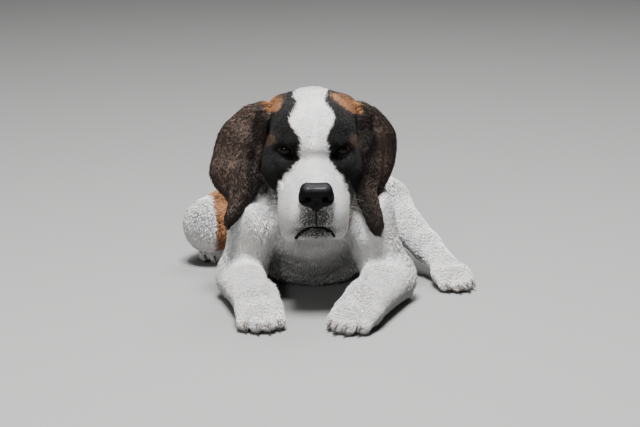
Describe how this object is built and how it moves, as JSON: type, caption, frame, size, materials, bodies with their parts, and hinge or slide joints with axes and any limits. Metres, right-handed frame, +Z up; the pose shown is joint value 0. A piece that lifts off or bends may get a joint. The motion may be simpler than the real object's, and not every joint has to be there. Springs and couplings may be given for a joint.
{
  "type": "saint bernard puppy",
  "caption": "Young saint bernard lying on its chest with its head up, forelegs forward and a hind leg out to the side.",
  "frame": {"origin": "the floor under the middle of the breastbone, where the chest rests", "axes": "+Z up from the floor, -Y the way the nose points, +X towards the dog's left side"},
  "size_m": [0.3384, 0.6413, 0.2375],
  "materials": {
    "white_coat": "short soft fur",
    "tan_coat": "short soft fur",
    "dark_coat": "short silky fur",
    "nose_skin": "moist pebbled skin",
    "eyeball": "wet gloss"
  },
  "bodies": {
    "root": {"torso": "tan_coat", "neck": "white_coat", "head": "white_coat", "jaw": "white_coat", "nose": "nose_skin", "eye_right": "eyeball", "eye_left": "eyeball", "ear_right": "dark_coat", "ear_left": "dark_coat", "upper_arm_right": "white_coat", "upper_arm_left": "white_coat", "forearm_right": "white_coat", "forearm_left": "white_coat", "front_paw_right": "white_coat", "front_paw_left": "white_coat", "thigh_right": "tan_coat", "thigh_left": "white_coat", "shank_right": "white_coat", "shank_left": "white_coat", "hind_paw_right": "white_coat", "hind_paw_left": "white_coat", "tail_base": "tan_coat", "tail_tip": "white_coat"}
  },
  "joints": []
}
